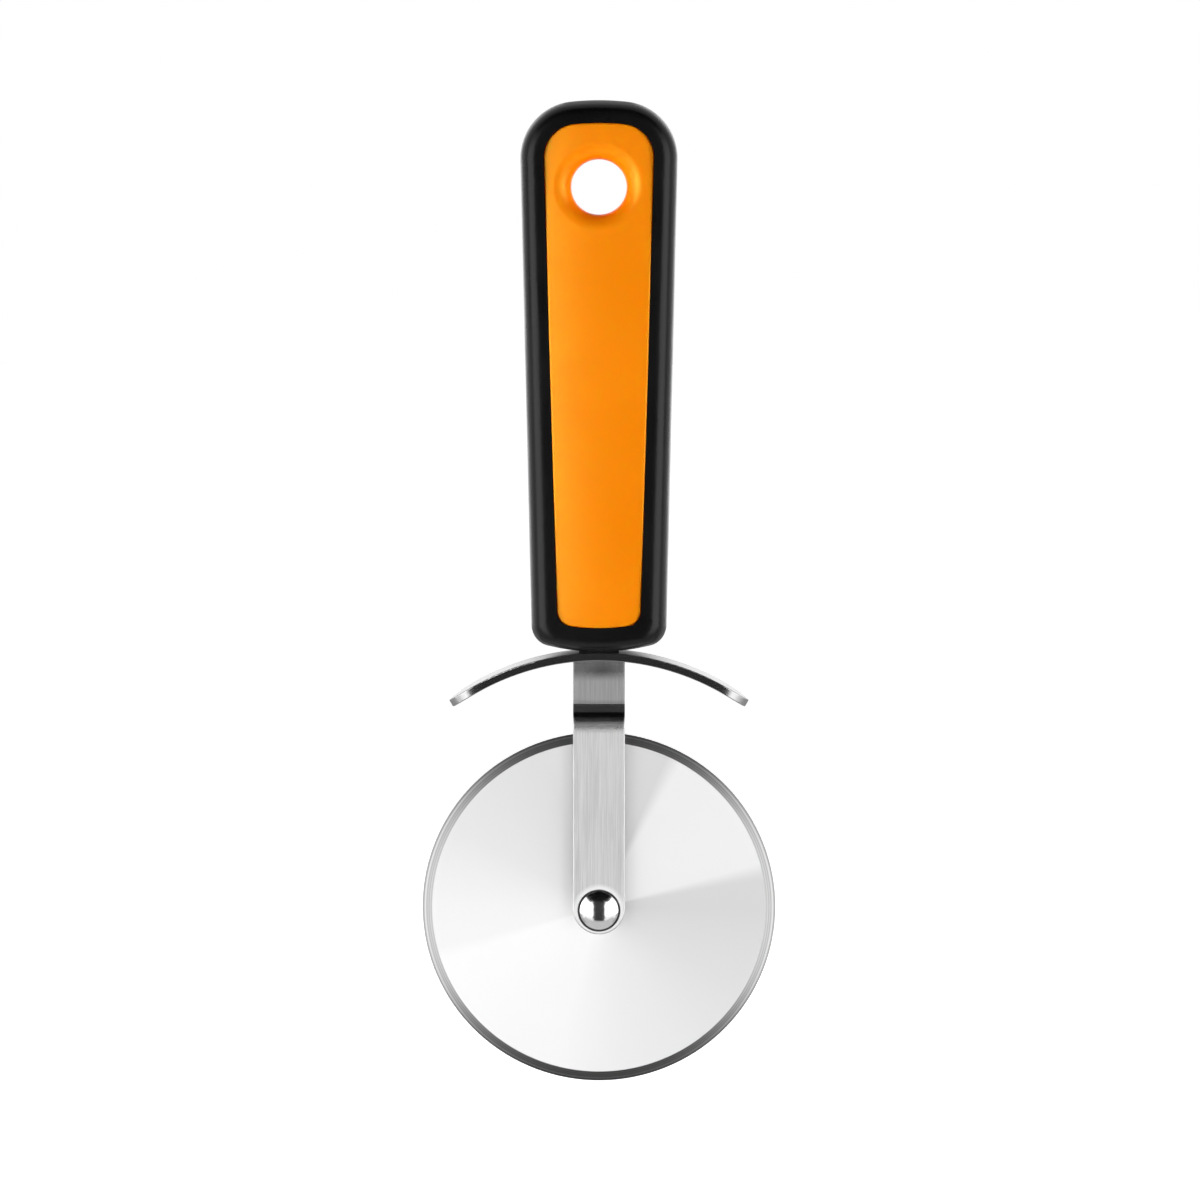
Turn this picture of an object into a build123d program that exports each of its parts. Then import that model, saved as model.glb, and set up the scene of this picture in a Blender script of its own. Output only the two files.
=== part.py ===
from build123d import *

import os
from math import asin, atan, copysign, cos, degrees, radians, sin, sqrt, tan
from typing import NamedTuple

# Pizza cutter wheel, in millimetres. It stands upright as it would hang: +Z runs up the
# handle, the front faces -Y, and the origin is the centre of the hanging hole.

# Cutting wheel: a steel disc ground to a thin edge from both faces.
wheel_diameter = 70.0
wheel_thickness = 1.0
wheel_bevel_width = 1.9
wheel_edge_thickness = 0.15
hole_to_axle = 142.15  # from the hanging hole down to the wheel's axle

# Axle: a two-piece domed rivet, a tubular half pressed over a solid half.
axle_diameter = 4.5
axle_pin_diameter = 2.8
rivet_head_diameter = 7.8
rivet_head_height = 1.8
rivet_head_rim = 0.25  # straight edge under the dome
rivet_edge_radius = 0.4  # between that edge and the dome
rivet_wall_end = 1.2  # solid metal between the tube's bore and its dome
rivet_seat_diameter = 8.4  # shallow seat pressed into the leg, a little wider than the head
rivet_seat_depth = 0.2

# Plastic spacers that keep the wheel midway between the two legs.
spacer_diameter = 9.4
spacer_thickness = 2.15
spacer_chamfer = 0.3

# Fork: two bent strips, back to back in the neck and set apart over the wheel.
strip_width = 10.2
strip_thickness = 1.2
strip_edge_radius = 0.25
strip_end_rise = 0.3  # how far the centre of the round end lies above the axle
neck_length = 8.9  # straight strip seen between the guard and the first bend
joggle_angle = 45.0
crease_radius = 0.5  # inner radius of the upper, sharp bend
shoulder_bend_radius = 3.4  # inner radius of the lower, easy bend
tang_width = 6.0
tang_depth = 50.0  # how far the tang reaches into the moulded core
tang_corner_radius = 1.0

# Thumb guard: a steel blank with long rounded tips and a slot for the tang, bent to an arch.
guard_span = 59.15
guard_depth = 8.0
guard_tip_length = 6.0  # along the blank, from the straight edges to the tip
guard_thickness = 1.55
guard_radius = 49.8
guard_edge_radius = 0.2

# Black rim of the handle, moulded round the edge of the core.
handle_width = 30.3  # at the hanging hole
handle_foot_width = 26.5
handle_top = 16.8  # from the hanging hole up to the top
handle_foot = 90.9  # from the hanging hole down to the foot
handle_top_radius = 50.0
handle_foot_radius = 42.0
handle_top_corner = 11.0
handle_foot_corner = 4.0
handle_thickness = 16.0  # at the hanging hole
handle_foot_thickness = 18.4
rim_level_count = 15  # sections that the rounded rim is lofted through
rim_squareness = 4.5  # 2 is an ellipse; a higher power is flatter beside the window
stub_width = 7.85  # square nib under the foot that meets the guard
stub_depth = 7.6
stub_drop = 0.05

# Orange core: two halves, flush in the rim's front and rear windows.
panel_width = 20.95  # at the hanging hole
panel_foot_width = 16.25
panel_top = 12.3
panel_foot = 85.5
panel_top_radius = 50.0
panel_foot_radius = 45.0
panel_top_corner = 6.4
panel_foot_corner = 3.0
panel_cross_radius = 70.0  # crown from side to side
panel_length_radius = 1500.0  # crown from top to foot
panel_edge_radius = 0.35
hang_hole_diameter = 10.8
hang_hole_round = 3.1  # how far the rounded lip runs in from the panel's face
core_wall = 2.0
boss_wall = 1.5  # round each peg and socket
rib_thickness = 1.2  # cross ribs between the core's two long walls
rib_count = 6
pocket_count = 3  # between the two pegs
tongue_width = 2.0  # ridge round the core that the rim is keyed to
tongue_thickness = 2.0
peg_diameter = 3.0
peg_reach = 4.0  # beyond the joint between the halves
peg_inset = 8.0  # from the tang's top and from the panel's foot

# Clearances.
running_gap = 0.05  # round the axle and beside the wheel's spacers
fit_gap = 0.05  # round pressed and moulded-in pieces
seat_gap = 0.02  # between pieces that are clamped on each other
overrun = 5.0  # how far a cutting shape runs past what it cuts


class Outline(NamedTuple):
    """A handle outline: straight tapering sides between a crowned top and foot."""

    width: float
    foot_width: float
    top: float
    foot: float
    top_radius: float
    foot_radius: float
    top_corner: float
    foot_corner: float


rim_outline = Outline(
    handle_width,
    handle_foot_width,
    handle_top,
    handle_foot,
    handle_top_radius,
    handle_foot_radius,
    handle_top_corner,
    handle_foot_corner,
)
panel_outline = Outline(
    panel_width,
    panel_foot_width,
    panel_top,
    panel_foot,
    panel_top_radius,
    panel_foot_radius,
    panel_top_corner,
    panel_foot_corner,
)


def sagitta(radius, half_chord):
    """Height of an arc over its chord."""
    return radius - sqrt(radius**2 - half_chord**2)


def outline_sketch(outline):
    """The outline as a flat sketch, with local Y up the handle."""
    half_foot = outline.foot_width / 2
    half_top = outline.width / 2 + (outline.width / 2 - half_foot) * outline.top / outline.foot
    top = outline.top - sagitta(outline.top_radius, half_top)
    foot = -outline.foot + sagitta(outline.foot_radius, half_foot)
    border = Curve() + [
        ThreePointArc((-half_top, top), (0, outline.top), (half_top, top)),
        Line((half_top, top), (half_foot, foot)),
        ThreePointArc((half_foot, foot), (0, -outline.foot), (-half_foot, foot)),
        Line((-half_foot, foot), (-half_top, top)),
    ]
    sketch = make_face(border)
    sketch = fillet(sketch.vertices().sort_by(Axis.Y)[-2:], outline.top_corner)
    return fillet(sketch.vertices().sort_by(Axis.Y)[:2], outline.foot_corner)


def blend_outlines(outer, inner, share):
    """The outline that lies the given share of the way from outer to inner."""
    return Outline(*(a + (b - a) * share for a, b in zip(outer, inner)))


def through_y(sketch, half_depth):
    """A front-view sketch made solid on both sides of the middle plane."""
    return extrude(Plane.XZ * sketch, amount=half_depth, both=True)


# The handle is a wedge, thicker at its foot. Its face leans by this much for each
# millimetre down from the hanging hole.
face_lean = (handle_foot_thickness - handle_thickness) / 2 / handle_foot


def face_plane(level):
    """A plane at a share of the half thickness: -1 is the rear face, 1 the front."""
    return Plane(
        origin=(0, -level * handle_thickness / 2, 0),
        x_dir=(1, 0, 0),
        z_dir=(0, -1, level * face_lean),
    )


def tang_clearance_box(foot_z, top_z):
    """The space that the two tangs take, with a fit gap all round."""
    return Pos(0, 0, (foot_z + top_z) / 2) * Box(
        tang_width + 2 * fit_gap,
        2 * strip_thickness + 2 * fit_gap,
        top_z - foot_z,
    )


# Heights down the tool that several pieces share.
guard_top_z = -(handle_foot + stub_drop)
guard_foot_z = guard_top_z - guard_thickness
guard_centre_z = guard_top_z - guard_radius
guard_inner_radius = guard_radius - guard_thickness
shoulder_z = guard_foot_z - sagitta(guard_inner_radius, strip_width / 2) - seat_gap
tang_top_z = -panel_foot + tang_depth
axle_z = -hole_to_axle
peg_places = [tang_top_z - peg_inset, -panel_foot + peg_inset]
rib_pitch = (peg_places[0] - peg_places[1]) / pocket_count
rib_places = [peg_places[1] + rib_pitch * index for index in range(rib_count)]

# Distances out from the middle plane at the wheel.
leg_inner_y = wheel_thickness / 2 + spacer_thickness + 2 * running_gap
leg_outer_y = leg_inner_y + strip_thickness
rivet_seat_y = leg_outer_y - rivet_seat_depth
joggle = leg_inner_y


def make_rim():
    """The black rim: a rounded ring with a window front and rear, and the foot nib."""
    levels = []
    for index in range(rim_level_count):
        angle = radians(180 * index / (rim_level_count - 1))
        width_share = sin(angle)
        level = copysign(sqrt(1 - width_share**rim_squareness), -cos(angle))
        section = outline_sketch(blend_outlines(panel_outline, rim_outline, width_share))
        levels.append(face_plane(level) * section)
    body = loft(levels)
    half_depth = handle_foot_thickness
    core_space = through_y(offset(outline_sketch(panel_outline), fit_gap), half_depth)
    tongue_space = through_y(
        offset(outline_sketch(panel_outline), tongue_width + fit_gap),
        tongue_thickness / 2 + fit_gap,
    )
    nib = Pos(0, 0, guard_top_z + overrun / 2) * Box(stub_width, stub_depth, overrun)
    guard_space = Pos(0, 0, guard_centre_z) * Rot(90, 0, 0) * Cylinder(
        guard_radius + seat_gap, handle_foot_thickness
    )
    tang_space = tang_clearance_box(-handle_foot - overrun, -panel_foot + overrun)
    return body + nib - core_space - tongue_space - guard_space - tang_space


def make_panel_crown():
    """A barrel whose skin is the panel's gently domed front face."""
    half_length = (panel_top + panel_foot) / 2 + overrun
    middle_z = (panel_top - panel_foot) / 2
    end_radius = panel_cross_radius - sagitta(panel_length_radius, half_length)
    border = Curve() + [
        Line((0, -half_length), (end_radius, -half_length)),
        ThreePointArc(
            (end_radius, -half_length), (panel_cross_radius, 0), (end_radius, half_length)
        ),
        Line((end_radius, half_length), (0, half_length)),
        Line((0, half_length), (0, -half_length)),
    ]
    barrel = revolve(Plane.XZ * make_face(border), Axis.Z)
    rise = sagitta(panel_cross_radius, panel_width / 2)
    face_y = handle_thickness / 2 - face_lean * middle_z + rise
    lean = Rot(-degrees(atan(face_lean)), 0, 0)
    return Pos(0, panel_cross_radius - face_y, middle_z) * lean * barrel


def panel_face(block):
    """The domed front face, which the hanging hole goes through."""
    return block.faces().filter_by(lambda face: face.inner_wires()).sort_by(Axis.Y)[0]


def make_core_pockets():
    """What is cored out of a half from its joint face, between the walls, ribs and bosses."""
    hole_boss_radius = hang_hole_diameter / 2 + hang_hole_round + core_wall
    plan = offset(outline_sketch(panel_outline), -core_wall) - Circle(hole_boss_radius)
    plan = plan.faces().sort_by(SortBy.AREA)[-1]
    crown = Pos(0, core_wall, 0) * make_panel_crown()
    pockets = extrude(Plane.XZ * plan, amount=handle_foot_thickness) & crown
    for place in rib_places:
        pockets -= Pos(0, 0, place) * Box(2 * panel_width, 2 * handle_foot_thickness, rib_thickness)
    for place in peg_places:
        boss = Cylinder(peg_diameter / 2 + boss_wall, 2 * handle_foot_thickness)
        pockets -= Pos(0, 0, place) * Rot(90, 0, 0) * boss
    return pockets


def make_core_half():
    """A core half without its pegs: cored panel, keyed tongue, hole and tang slot."""
    sketch = outline_sketch(panel_outline)
    block = extrude(Plane.XZ * sketch, amount=handle_foot_thickness) & make_panel_crown()
    bore = Rot(90, 0, 0) * Cylinder(hang_hole_diameter / 2, 2 * handle_foot_thickness)
    block -= bore
    block = fillet(panel_face(block).outer_wire().edges(), panel_edge_radius)
    block = fillet(panel_face(block).inner_wires()[0].edges(), hang_hole_round)
    tongue = extrude(Plane.XZ * offset(sketch, tongue_width), amount=tongue_thickness / 2)
    block += tongue - bore
    block -= make_core_pockets()
    return block - tang_clearance_box(-panel_foot - overrun, tang_top_z + fit_gap)


def make_core_front():
    """The front half carries the pegs that pass through the tangs."""
    half = make_core_half()
    root_y = -strip_thickness - fit_gap
    for place in peg_places:
        length = peg_reach - root_y
        half += Pos(0, root_y + length / 2, place) * Rot(90, 0, 0) * Cylinder(
            peg_diameter / 2, length
        )
    return half


def make_core_rear():
    """The rear half has the sockets that the pegs are pushed into."""
    half = mirror(make_core_half(), about=Plane.XZ)
    for place in peg_places:
        half -= Pos(0, 0, place) * Rot(90, 0, 0) * Cylinder(
            peg_diameter / 2 + fit_gap, 2 * (peg_reach + fit_gap)
        )
    return half


def along_axle(radius, from_y, to_y):
    """A round bar on the axle's line."""
    return Pos(0, (from_y + to_y) / 2, axle_z) * Rot(90, 0, 0) * Cylinder(radius, to_y - from_y)


def make_leg():
    """The front leg with its tang: one strip, bent outwards to clear the wheel."""
    run = joggle / tan(radians(joggle_angle))
    bend_z = shoulder_z - neck_length
    end_z = axle_z + strip_end_rise
    tip_z = end_z - strip_width / 2
    middle = strip_thickness / 2
    path = FilletPolyline(
        (-middle, tang_top_z),
        (-middle, bend_z),
        (-middle - joggle, bend_z - run),
        (-middle - joggle, tip_z),
        radius=[crease_radius + middle, shoulder_bend_radius + middle],
    )
    strip = extrude(Plane.YZ * trace(path, strip_thickness), amount=strip_width / 2, both=True)
    blade = Pos(0, (shoulder_z + end_z) / 2) * Rectangle(strip_width, shoulder_z - end_z)
    blade += Pos(0, end_z) * Circle(strip_width / 2)
    tang = Pos(0, (tang_top_z + shoulder_z) / 2) * Rectangle(tang_width, tang_top_z - shoulder_z)
    tang = fillet(tang.vertices().sort_by(Axis.Y)[-2:], tang_corner_radius)
    leg = strip & through_y(blade + tang, handle_thickness)
    leg -= Pos(0, 0, axle_z) * Rot(90, 0, 0) * Cylinder(
        axle_diameter / 2 + running_gap, handle_thickness
    )
    for place in peg_places:
        leg -= Pos(0, 0, place) * Rot(90, 0, 0) * Cylinder(
            peg_diameter / 2 + fit_gap, handle_thickness
        )
    long_edges = [
        edge
        for edge in leg.edges()
        if abs(abs(edge.center().X) - strip_width / 2) < seat_gap
        and abs(edge.tangent_at(0.5).Y) < cos(radians(joggle_angle)) + seat_gap / strip_width
    ]
    tip_edges = leg.edges().filter_by(GeomType.CIRCLE).group_by(Axis.Z)[0]
    leg = fillet(long_edges + list(tip_edges), strip_edge_radius)
    return leg - along_axle(rivet_seat_diameter / 2, -leg_outer_y - overrun, -rivet_seat_y)


def make_guard():
    """The thumb guard: a blank with rounded tips, bent to an arch, with a slot in the middle."""
    tip_angle = asin(guard_span / 2 / guard_radius) - asin(guard_tip_length / guard_radius)
    reach = 2 * guard_radius
    ring = Circle(guard_radius) - Circle(guard_inner_radius)
    sector = make_face(
        Polyline(
            (0, 0),
            (reach * sin(tip_angle), reach * cos(tip_angle)),
            (-reach * sin(tip_angle), reach * cos(tip_angle)),
            close=True,
        )
    )
    guard = through_y(ring & sector, guard_depth / 2)
    tip = extrude(Ellipse(guard_tip_length, guard_depth / 2), amount=reach)
    for side in (-1, 1):
        guard += Rot(0, side * degrees(tip_angle), 0) * tip & through_y(ring, guard_depth)
    guard = Pos(0, 0, guard_centre_z) * guard
    round_faces = guard.faces().filter_by(GeomType.CYLINDER)
    skins = [face for face in round_faces if face.outer_wire().length > guard_span]
    guard = fillet([edge for face in skins for edge in face.edges()], guard_edge_radius)
    return guard - tang_clearance_box(guard_foot_z - overrun, guard_top_z + overrun)


def make_wheel():
    """The wheel: a disc with a bevel ground on each face, bored for the axle."""
    bore = axle_diameter / 2 + running_gap
    rim = wheel_diameter / 2
    half = wheel_thickness / 2
    half_edge = wheel_edge_thickness / 2
    section = Polyline(
        (bore, -half),
        (rim - wheel_bevel_width, -half),
        (rim, -half_edge),
        (rim, half_edge),
        (rim - wheel_bevel_width, half),
        (bore, half),
        close=True,
    )
    return Pos(0, 0, axle_z) * revolve(make_face(section), Axis.Y)


def make_spacer():
    """The front spacer ring, which turns with the wheel."""
    ring = extrude(
        Circle(spacer_diameter / 2) - Circle(axle_diameter / 2 + running_gap),
        amount=spacer_thickness,
    )
    edges = ring.edges().filter_by(GeomType.CIRCLE).sort_by(SortBy.RADIUS)[-2:]
    ring = chamfer(edges, spacer_chamfer)
    return Pos(0, -wheel_thickness / 2, axle_z) * Rot(90, 0, 0) * ring


def rivet_head(side):
    """A domed head seated on a leg: side is -1 for the front and 1 for the rear."""
    radius = rivet_head_diameter / 2
    top = rivet_head_height
    dome_height = rivet_head_height - rivet_head_rim
    ball = (radius**2 + dome_height**2) / (2 * dome_height)
    mid_angle = asin(radius / ball) / 2
    border = Curve() + [
        Line((0, 0), (radius, 0)),
        Line((radius, 0), (radius, rivet_head_rim)),
        ThreePointArc(
            (radius, rivet_head_rim),
            (ball * sin(mid_angle), top - ball + ball * cos(mid_angle)),
            (0, top),
        ),
        Line((0, top), (0, 0)),
    ]
    section = make_face(border)
    shoulder = section.vertices().group_by(Axis.X)[-1].sort_by(Axis.Y)[-1]
    head = revolve(fillet(shoulder, rivet_edge_radius), Axis.Y)
    if side < 0:
        head = mirror(head, about=Plane.XZ)
    return Pos(0, side * rivet_seat_y, axle_z) * head


def make_rivet_tube():
    """The front half of the rivet: its shank is the wheel's axle, bored from the rear."""
    shank = along_axle(axle_diameter / 2, -rivet_seat_y, rivet_seat_y - seat_gap)
    bore_start = -rivet_seat_y + rivet_wall_end
    return rivet_head(-1) + shank - along_axle(axle_pin_diameter / 2, bore_start, rivet_seat_y)


def make_rivet_pin():
    """The rear half of the rivet: a solid pin pressed into the tube."""
    pin_start = -rivet_seat_y + rivet_wall_end + seat_gap
    return rivet_head(1) + along_axle(axle_pin_diameter / 2 - seat_gap, pin_start, rivet_seat_y)


def write(name, shape):
    export_step(shape, f"parts/{name}.step")


os.makedirs("parts", exist_ok=True)
front_leg = make_leg()
front_spacer = make_spacer()
write("grip_rim", make_rim())
write("core_front", make_core_front())
write("core_rear", make_core_rear())
write("front_leg", front_leg)
write("rear_leg", mirror(front_leg, about=Plane.XZ))
write("thumb_guard", make_guard())
write("cutting_wheel", make_wheel())
write("front_spacer", front_spacer)
write("rear_spacer", mirror(front_spacer, about=Plane.XZ))
write("rivet_tube", make_rivet_tube())
write("rivet_pin", make_rivet_pin())
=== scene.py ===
import math

import bpy
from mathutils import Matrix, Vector


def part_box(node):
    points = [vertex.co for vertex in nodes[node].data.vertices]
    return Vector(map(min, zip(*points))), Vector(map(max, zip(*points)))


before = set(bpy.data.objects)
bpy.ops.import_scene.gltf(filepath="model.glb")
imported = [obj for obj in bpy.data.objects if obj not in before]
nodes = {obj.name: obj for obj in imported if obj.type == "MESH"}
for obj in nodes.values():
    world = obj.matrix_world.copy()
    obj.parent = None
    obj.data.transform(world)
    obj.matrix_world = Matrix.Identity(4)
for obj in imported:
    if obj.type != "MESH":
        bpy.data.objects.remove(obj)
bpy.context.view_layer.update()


# Rim of the handle: black soft-touch rubber moulded round the edge of the orange core,
# with a square nib at its foot. The mould was spark-eroded, so the skin has a fine even
# grain, and hands leave it a little smoother in patches.
def add(tree, kind, inputs=None, **settings):
    """A shader node, with each of its inputs set to a value or linked to a socket."""
    node = tree.nodes.new("ShaderNode" + kind)
    for name, value in settings.items():
        setattr(node, name, value)
    for name, value in (inputs or {}).items():
        if isinstance(value, bpy.types.NodeSocket):
            tree.links.new(value, node.inputs[name])
        else:
            node.inputs[name].default_value = value
    return node


def new_material(name):
    """An empty node material, and the coordinates that its patterns read."""
    material = bpy.data.materials.new(name)
    material.use_nodes = True
    material.node_tree.nodes.clear()
    return material, material.node_tree, add(material.node_tree, "TexCoord").outputs["Object"]


def cloud(tree, place, scale, detail=2.0):
    """Soft noise, from 0 to 1."""
    return add(tree, "TexNoise", {"Vector": place, "Scale": scale, "Detail": detail}).outputs["Fac"]


def between(tree, value, low, high, start=0.3, end=0.7):
    """The value spread over the range from low to high."""
    limits = {"Value": value, "From Min": start, "From Max": end, "To Min": low, "To Max": high}
    return add(tree, "MapRange", limits).outputs["Result"]


def shade(tree, value, dark, light, start=0.3, end=0.7):
    """A colour that runs from dark to light as the value rises."""
    ramp = add(tree, "ValToRGB", {"Fac": value})
    ramp.color_ramp.elements[0].position = start
    ramp.color_ramp.elements[0].color = (*dark, 1)
    ramp.color_ramp.elements[1].position = end
    ramp.color_ramp.elements[1].color = (*light, 1)
    return ramp.outputs["Color"]


def bump(tree, height, depth, strength):
    """Surface relief of the given depth, in metres."""
    inputs = {"Height": height, "Distance": depth, "Strength": strength}
    return add(tree, "Bump", inputs).outputs["Normal"]


def close_material(tree, inputs):
    """The surface shader of a material."""
    shader = add(tree, "BsdfPrincipled", inputs)
    add(tree, "OutputMaterial", {"Surface": shader.outputs["BSDF"]})


def dress(node, material):
    """Gives a carried-over CAD node its material."""
    nodes[node].data.materials.clear()
    nodes[node].data.materials.append(material)


rubber, tree, place = new_material("soft_touch_rubber")
handling = cloud(tree, place, 90.0)
grain = cloud(tree, place, 2600.0, 3.0)
close_material(tree, {
    "Base Color": shade(tree, handling, (0.003, 0.003, 0.0032), (0.005, 0.005, 0.0052)),
    "Roughness": between(tree, handling, 0.26, 0.32),
    "Specular IOR Level": 0.27,
    "Normal": bump(tree, grain, 0.000012, 0.6),
})
dress("grip_rim", rubber)


# Orange core: two rigid glossy halves, front and rear, that close over the tangs. The
# colour is in the plastic, and the moulded face has a faint satin grain.
orange, tree, place = new_material("orange_plastic")
tone = cloud(tree, place, 55.0)
grain = cloud(tree, place, 2200.0, 3.0)
close_material(tree, {
    "Base Color": shade(tree, tone, (0.93, 0.243, 0.0008), (0.98, 0.264, 0.0014)),
    "Roughness": between(tree, tone, 0.28, 0.34),
    "Specular IOR Level": 0.45,
    "Specular Tint": (1.0, 0.92, 0.15, 1.0),
    "Subsurface Weight": 0.4,
    "Subsurface Radius": (1.0, 0.2, 0.05),
    "Subsurface Scale": 0.002,
    "Normal": bump(tree, grain, 0.000006, 0.5),
})
for node in ("core_front", "core_rear"):
    dress(node, orange)


# Thumb guard: an arched strip of stainless steel with round tips, cut out, bent and
# barrel-polished. Its edges are bright, a little duller at the tips, and its two faces
# stay satin with a faint grain.
def stretched(tree, place, scale):
    """The coordinates scaled by a different amount along each axis."""
    return add(tree, "Mapping", {"Vector": place, "Scale": scale}).outputs["Vector"]


def maths(tree, operation, *values):
    """A number worked out from one or two others."""
    return add(tree, "Math", dict(enumerate(values)), operation=operation).outputs["Value"]


def reach(tree, vector, axis):
    """How far a vector reaches along one axis."""
    return add(tree, "SeparateXYZ", {"Vector": vector}).outputs[axis]


tip_start = 0.0220
tip_end = 0.0255

guard_steel, tree, place = new_material("polished_guard_steel")
facing = maths(tree, "ABSOLUTE", reach(tree, add(tree, "TexCoord").outputs["Normal"], "Y"))
from_middle = maths(tree, "ABSOLUTE", reach(tree, place, "X"))
streak = cloud(tree, stretched(tree, place, (60.0, 2500.0, 60.0)), 1.0, 3.0)
satin_face = between(tree, streak, 0.32, 0.38)
polished_edge = between(tree, from_middle, 0.14, 0.24, tip_start, tip_end)
close_material(tree, {
    "Base Color": shade(tree, streak, (0.47, 0.47, 0.47), (0.54, 0.54, 0.54)),
    "Metallic": 1.0,
    "Roughness": between(tree, facing, satin_face, polished_edge, 0.88, 0.99),
    "Normal": bump(tree, streak, 0.000002, 0.4),
})
dress("thumb_guard", guard_steel)


# Fork: two stainless strips, back to back in the neck and bent outwards over the wheel.
# They are belt-brushed lengthwise, and smoother on the neck, just under the guard and on
# the slope. Light and shade are painted into their colour: a darker neck, a painted shadow
# of the guard under it, painted shade on the upper slope over a painted highlight lower
# down, painted shade in the groove round the rivet's seat and a painted highlight on the
# ring of metal squeezed round it.
def step_at(tree, value, place, width):
    """0 below a place and 1 above it, with a soft step of the given width between."""
    return between(tree, value, 0.0, 1.0, place - width / 2, place + width / 2)


def blend(tree, share, first, second):
    """A number that goes from first to second as the share goes from 0 to 1."""
    ends = {"Value": share, "From Min": 0.0, "From Max": 1.0, "To Min": first, "To Max": second}
    return add(tree, "MapRange", ends).outputs["Result"]


def product(tree, first, second):
    """One number times the other."""
    return maths(tree, "MULTIPLY", first, second)


def sum_of(tree, first, second, share=1.0):
    """The first number plus a share of the second."""
    return maths(tree, "ADD", first, product(tree, second, share))


def in_plane(tree, place, offset, rise=1.0):
    """The coordinates moved by the offset, with no depth and the height scaled."""
    moved = add(tree, "Mapping", {"Vector": place, "Location": offset}).outputs["Vector"]
    return add(tree, "VectorMath", {0: moved, 1: (1, 0, rise)}, operation="MULTIPLY").outputs["Vector"]


def length(tree, vector):
    """How long a vector is."""
    return add(tree, "VectorMath", {0: vector}, operation="LENGTH").outputs["Value"]


def in_world(tree, direction):
    """A direction on the piece, as it lies in the world."""
    turns = {"vector_type": "VECTOR", "convert_from": "OBJECT", "convert_to": "WORLD"}
    return add(tree, "VectorTransform", {"Vector": direction}, **turns).outputs["Vector"]


wheel_low, wheel_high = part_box("cutting_wheel")
axle_height = (wheel_low[2] + wheel_high[2]) / 2
to_axle = (0, 0, -axle_height)
# Middle of the painted shadow of the guard on the neck, and where the zone under the guard starts.
to_shadow_centre = (-0.0006, 0, 0.0952)
under_guard_edge = -0.0958
crease_height = -0.1017
# The slope is painted dark above the first of these heights and a little lighter below the second.
slope_painted_shade_start = -0.1033
slope_painted_highlight_end = -0.1038
slope_end = -0.1063
raggedness = 0.002
seat_radius = 0.0042
squeezed_ring = 0.0008

fork_steel, tree, place = new_material("brushed_fork_steel")
fine = cloud(tree, stretched(tree, place, (11000.0, 11000.0, 160.0)), 1.0, 2.0)
broad = cloud(tree, stretched(tree, place, (3200.0, 3200.0, 50.0)), 1.0, 2.0)
streak = sum_of(tree, product(tree, fine, 0.6), broad, 0.4)
height = reach(tree, place, "Z")
ragged = sum_of(tree, height, streak, raggedness)
# The zone just under the guard: its steel is smoother, and the guard's shadow is painted on it.
under_guard = step_at(tree, ragged, under_guard_edge + raggedness / 2, 0.0020)
on_neck = step_at(tree, height, crease_height, 0.0002)
past_slope = blend(tree, step_at(tree, ragged, slope_end + raggedness / 2, 0.0014), 1.0, 0.0)
on_slope = blend(tree, maths(tree, "ADD", on_neck, past_slope), 1.0, 0.0)
from_shadow_centre = length(tree, in_plane(tree, place, to_shadow_centre, 1.6))
from_axle = length(tree, in_plane(tree, place, to_axle))
outside_ring_highlight = step_at(tree, from_axle, seat_radius + squeezed_ring, squeezed_ring)
outside_groove_shade = step_at(tree, from_axle, seat_radius + 0.00002, 0.00008)
roughness = blend(tree, on_neck, 0.39, 0.33)
roughness = sum_of(tree, roughness, under_guard, -0.09)
roughness = sum_of(tree, roughness, on_slope, -0.19)
roughness = sum_of(tree, roughness, streak, 0.03)
# Painted shade: the neck is painted darker than the leg, and darker still just above the crease.
painted_neck_shade = between(tree, height, 0.34, 0.59, crease_height, crease_height + 0.0013)
# Painted shadow of the guard: darkest under its middle, fading out within a few millimetres.
painted_guard_shadow = between(tree, from_shadow_centre, 0.38, 0.74, 0.0004, 0.0040)
# Painted shade on the upper slope and a painted highlight on its lower part.
painted_slope_light_and_shade = between(tree, height, 1.05, 0.27, slope_painted_highlight_end, slope_painted_shade_start)
grey = between(tree, streak, 0.52, 0.68, 0.35, 0.65)
grey = product(tree, grey, blend(tree, on_neck, 1.0, painted_neck_shade))
grey = product(tree, grey, blend(tree, under_guard, 1.0, painted_guard_shadow))
grey = product(tree, grey, blend(tree, on_slope, 1.0, painted_slope_light_and_shade))
# Painted highlight: the ring of metal squeezed round the seat is painted lighter than the brushed leg.
grey = blend(tree, outside_ring_highlight, 0.85, grey)
# Painted shade in the narrow groove round the rivet's seat.
grey = product(tree, grey, blend(tree, outside_groove_shade, 0.10, 1.0))
across = add(tree, "CombineXYZ", {"X": 1.0}).outputs["Vector"]
close_material(tree, {
    "Base Color": shade(tree, grey, (0, 0, 0), (1, 1, 1), 0.0, 1.0),
    "Metallic": 1.0,
    "Roughness": roughness,
    "Anisotropic": 0.96,
    "Tangent": in_world(tree, across),
    "Normal": bump(tree, streak, 0.000008, 0.5),
})
for node in ("front_leg", "rear_leg"):
    dress(node, fork_steel)


# Cutting wheel: a disc of hardened stainless steel, ground fine in the round on its faces
# and coarser on the bevel, which leaves a ring of dark and bright lines. A painted sheen in
# sectors round the axle lies on the faces, the bevel is painted darker than the faces as
# painted shade, and a fine dark line at the edge is painted shade.
lines_per_metre = 2600.0
bevel_start = 0.0331
edge_start = 0.03478
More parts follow.
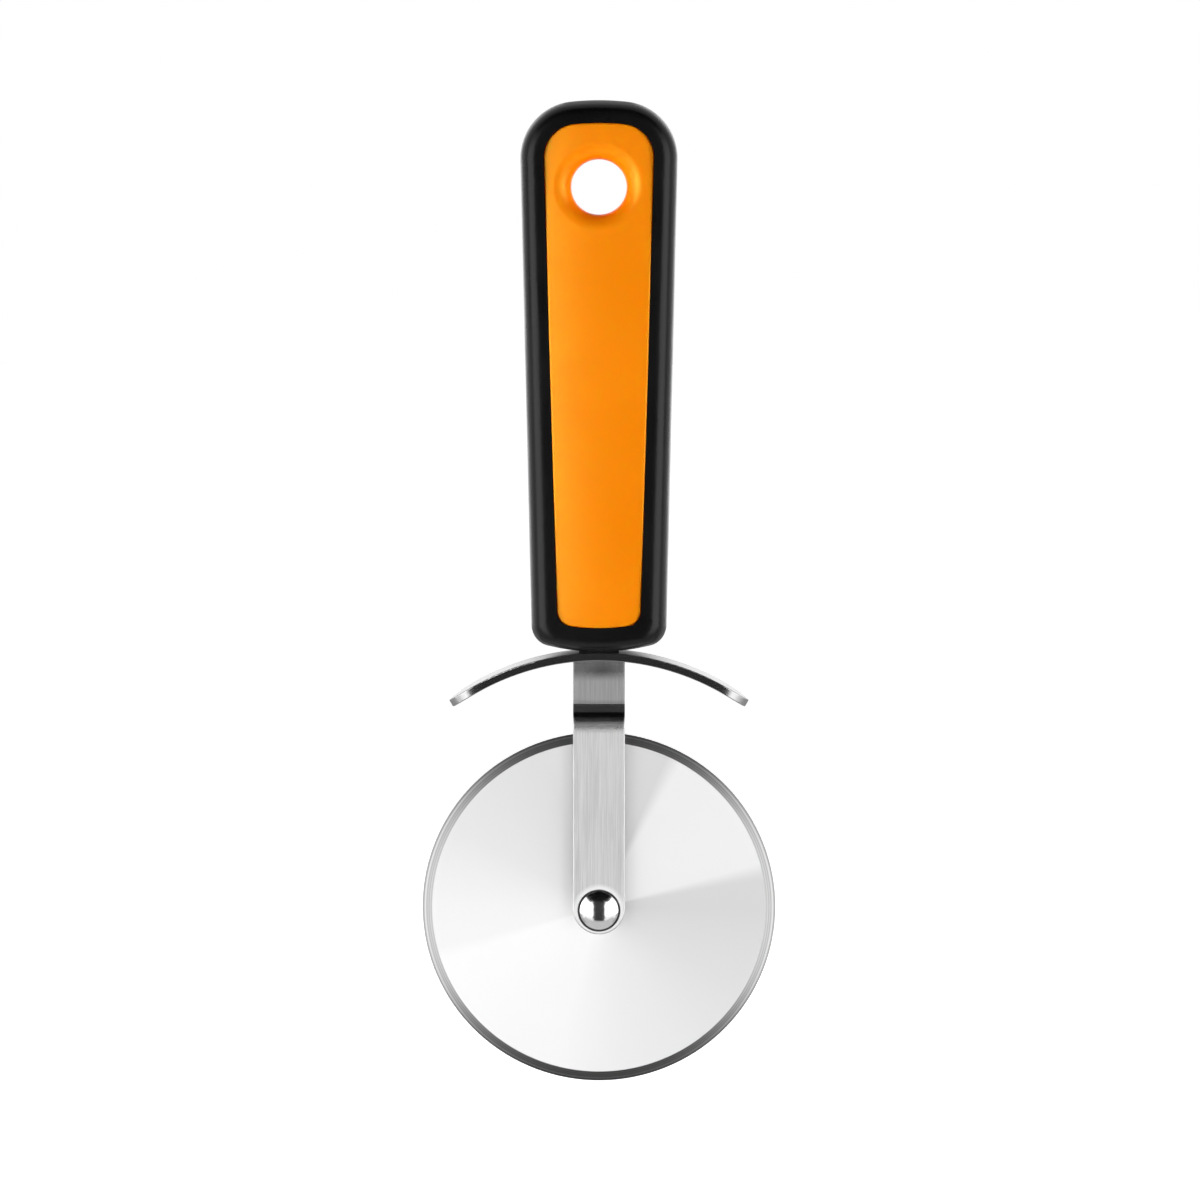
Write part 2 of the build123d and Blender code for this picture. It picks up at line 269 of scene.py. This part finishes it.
# Painted sheen: how light the faces are painted at each angle round the axle, in degrees.
painted_sheen_by_angle = [
    (-180, 0.85), (-166, 0.87), (-161, 0.92), (-116, 0.975), (-106, 0.985), (-90, 0.94), (-60, 0.85),
    (-30, 0.73), (0, 0.65), (10.5, 0.66), (15.2, 0.815), (61, 0.90), (66, 0.745), (74, 0.775),
    (82, 0.81), (100, 0.86), (110, 0.80), (150, 0.785), (180, 0.85),
]

wheel_steel, tree, place = new_material("ground_wheel_steel")
centred = add(tree, "Mapping", {"Vector": place, "Location": to_axle}).outputs["Vector"]
flat = in_plane(tree, place, to_axle)
outward = add(tree, "VectorMath", {0: flat}, operation="NORMALIZE").outputs["Vector"]
radius = length(tree, flat)
lines = {"W": product(tree, radius, lines_per_metre), "Scale": 1.0, "Detail": 2.0}
ring = add(tree, "TexNoise", lines, noise_dimensions="1D").outputs["Fac"]
on_bevel = step_at(tree, radius, bevel_start, 0.0002)
on_edge = step_at(tree, radius, edge_start, 0.0001)
laid_flat = {"Vector": centred, "Rotation": (math.radians(-90), 0, 0)}
laid_flat = add(tree, "Mapping", laid_flat).outputs["Vector"]
sweep = add(tree, "TexGradient", {"Vector": laid_flat}, gradient_type="RADIAL").outputs["Fac"]
painted_sheen = add(tree, "ValToRGB", {"Fac": sweep})
stops = painted_sheen.color_ramp.elements
for angle, light in painted_sheen_by_angle[1:-1]:
    stops.new((angle + 180) / 360)
for stop, (angle, light) in zip(stops, painted_sheen_by_angle):
    stop.position = (angle + 180) / 360
    stop.color = (light, light, light, 1)
# Painted shade: a fine dark line at the wheel's edge, taken off the grind lines.
grind_lines_and_painted_edge = maths(tree, "SUBTRACT", ring, product(tree, on_edge, 0.35))
# Painted shade: the bevel is painted a darker grey than the faces, with its grind lines in it.
bevel_lines_and_shade = shade(tree, grind_lines_and_painted_edge, (0.24, 0.24, 0.24), (0.43, 0.43, 0.43), 0.38, 0.62)
either = {0: on_bevel, 6: painted_sheen.outputs["Color"], 7: bevel_lines_and_shade}
close_material(tree, {
    "Base Color": add(tree, "Mix", either, data_type="RGBA").outputs[2],
    "Metallic": 1.0,
    "Roughness": between(tree, on_bevel, 0.50, 0.275, 0.0, 1.0),
    "Anisotropic": 0.15,
    "Tangent": in_world(tree, outward),
    "Normal": bump(tree, ring, 0.000002, 0.3),
})
dress("cutting_wheel", wheel_steel)


# Spacers: two turned rings of white acetal that keep the wheel midway between the legs.
# They ride on the rivet with the wheel, and nothing holds them but the fit.
acetal, tree, place = new_material("acetal_plastic")
tone = cloud(tree, place, 300.0)
close_material(tree, {
    "Base Color": shade(tree, tone, (0.70, 0.70, 0.68), (0.78, 0.78, 0.76)),
    "Roughness": between(tree, tone, 0.38, 0.5),
})
for node in ("front_spacer", "rear_spacer"):
    dress(node, acetal)


# Rivet: a tubular half and a solid half pressed into it, nickel-plated and bright, with
# domed heads. It holds the legs together, and its shank is the wheel's axle.
nickel, tree, place = new_material("bright_nickel")
tone = cloud(tree, place, 900.0)
close_material(tree, {
    "Base Color": shade(tree, tone, (0.86, 0.86, 0.86), (0.92, 0.92, 0.92)),
    "Metallic": 1.0,
    "Roughness": between(tree, tone, 0.13, 0.17),
})
for node in ("rivet_tube", "rivet_pin"):
    dress(node, nickel)


# Lamps: a tall softbox on each side and a few smaller ones that only reflections see,
# and four lamps that only light the colours. The panel, the lip of the hanging hole and
# the wheel have a reflection of their own, as each was lit in the photograph.
def softbox(name, place, aim, size, strength, unseen):
    """A rectangular lamp, lit evenly all over, and hidden from one kind of ray."""
    lamp = bpy.data.lights.new(name, "AREA")
    lamp.shape = "RECTANGLE"
    lamp.size, lamp.size_y = size
    lamp.energy = strength * math.pi * size[0] * size[1]
    holder = bpy.data.objects.new(name, lamp)
    holder.location = place
    holder.rotation_euler = (Vector(aim) - Vector(place)).to_track_quat("-Z", "Z").to_euler()
    holder.visible_camera = False
    setattr(holder, "visible_" + unseen, False)
    bpy.context.scene.collection.objects.link(holder)
    return holder


def light_only(pieces, lamps):
    """Keeps the light of the lamps to a few pieces of the tool."""
    lit = bpy.data.collections.new("lit_pieces")
    for piece in pieces:
        lit.objects.link(nodes[piece])
    for lamp in lamps:
        lamp.light_linking.receiver_collection = lit


for side in (-1, 1):
    spot = (side * 0.585, -0.55, -0.10)
    aim = (side * -0.354, -0.207, -0.10)
    softbox("softbox", spot, aim, (0.788, 1.2), 1.4, "diffuse")
handle_foot = (0, 0, -0.07)
for side, brightness in ((-1, 11.5), (1, 8.4)):
    softbox("side_lamp", (side * 0.80, -0.42, -0.32), handle_foot, (0.7, 0.8), brightness, "glossy")
    softbox("rear_lamp", (side * 0.70, 0.62, -0.22), handle_foot, (0.7, 0.8), 7.0, "glossy")
hole = (0, 0, 0)
light_only(("core_front", "core_rear"), [
    softbox("panel_lamp", (-0.56, -0.80, -0.05), (0, 0, -0.03), (0.60, 0.9), 8.0, "diffuse"),
    softbox("lip_lamp", (0.85, -0.50, 0.10), hole, (0.5, 0.6), 5.0, "diffuse"),
    softbox("lip_lamp", (0, -0.50, -0.72), hole, (0.8, 0.4), 6.0, "diffuse"),
])
light_only(("cutting_wheel",), [
    softbox("wheel_lamp", (0, -0.86, -0.30), (0, 0, -0.142), (0.8, 0.5), 1.37, "diffuse"),
])


# Cards: dark, grey and bright boards round the tool that only reflections see, and one
# black board overhead that keeps the white background from lighting the tool from above.
def card(name, corners, strength, unseen=("camera", "diffuse", "transmission", "shadow")):
    """A flat panel of even brightness, hidden from the kinds of ray that unseen names."""
    mesh = bpy.data.meshes.new(name)
    mesh.from_pydata(corners, [], [(0, 1, 2, 3)])
    panel = bpy.data.objects.new(name, mesh)
    bpy.context.scene.collection.objects.link(panel)
    material = bpy.data.materials.new(name)
    material.use_nodes = True
    material.node_tree.nodes.clear()
    glow = add(material.node_tree, "Emission", {"Strength": strength})
    add(material.node_tree, "OutputMaterial", {"Surface": glow.outputs["Emission"]})
    mesh.materials.append(material)
    for ray in unseen:
        setattr(panel, "visible_" + ray, False)


card_foot = -1.3
card_head = 0.5
card_side = 1.7


def upright(left, right, foot=card_foot, head=card_head):
    """The corners of a card that stands between two places on the plan."""
    return [(*left, foot), (*right, foot), (*right, head), (*left, head)]


def level(near, far, height):
    """The corners of a card that lies flat from side to side."""
    left, right = (-card_side, card_side)
    return [(left, near, height), (right, near, height), (right, far, height), (left, far, height)]


card("front_flag", upright((-0.50, -1.0), (0.50, -1.0)), 0.038)
card("rear_flag", upright((-card_side, 1.0), (card_side, 1.0)), 0.40)
for side in (-1, 1):
    card("side_flag", upright((side * 0.95, -0.24), (side * card_side, 1.0)), 0.40)
for side in (-1, 1):
    card("rear_glow", upright((side * 0.09, 0.99), (side * 0.45, 0.99), -0.20, 0.40), 1.7)
card("low_card", level(-1.0, 1.0, card_foot), 0.57)
card("top_flag", level(-1.0, 1.0, card_head), 0.003, ("camera", "glossy", "transmission"))
card("top_dark", level(-1.0, -0.05, card_head), 0.003)
card("top_glow", level(-0.05, 1.0, card_head), 0.45)


# Backdrop: a white world, dimmer for the light that it gives, and a pale matt floor well
# below the hanging tool, which looks as white as the world and takes the tool's shadow.
world = bpy.data.worlds.new("studio")
bpy.context.scene.world = world
world.use_nodes = True
tree = world.node_tree
tree.nodes.clear()
path = add(tree, "LightPath").outputs
shown = maths(tree, "MAXIMUM", path["Is Camera Ray"], path["Is Glossy Ray"])
shown = maths(tree, "MAXIMUM", shown, path["Is Transmission Ray"])
strength = between(tree, shown, 0.35, 1.0, 0.0, 1.0)
backdrop = add(tree, "Background", {"Color": (1, 1, 1, 1), "Strength": strength})
add(tree, "OutputWorld", {"Surface": backdrop.outputs["Background"]})

bpy.ops.object.select_all(action="DESELECT")
bpy.ops.mesh.primitive_plane_add(size=12.0, location=(0, 0, -0.30))
floor = bpy.context.object
floor.name = "floor"
pale, tree, place = new_material("pale_floor")
path = add(tree, "LightPath").outputs
strength = between(tree, path["Is Camera Ray"], 0.0, 0.78, 0.0, 1.0)
white = add(tree, "Emission", {"Strength": strength})
matt = add(tree, "BsdfDiffuse", {"Color": (0.8, 0.8, 0.8, 1)})
both = add(tree, "AddShader", {0: white.outputs["Emission"], 1: matt.outputs["BSDF"]})
add(tree, "OutputMaterial", {"Surface": both.outputs["Shader"]})
floor.data.materials.append(pale)
floor.visible_glossy = False


# Camera: level with the hanging hole, on a long lens, looking down a little.
view = bpy.data.cameras.new("camera")
view.lens = 120.0
view.sensor_width = 36.0
camera = bpy.data.objects.new("camera", view)
camera.location = (0.0002, -0.78342, 0.0)
camera.rotation_euler = (math.radians(90.0 - 5.895), 0, 0)
bpy.context.scene.collection.objects.link(camera)
bpy.context.scene.camera = camera

bpy.context.scene.view_settings.view_transform = "Standard"
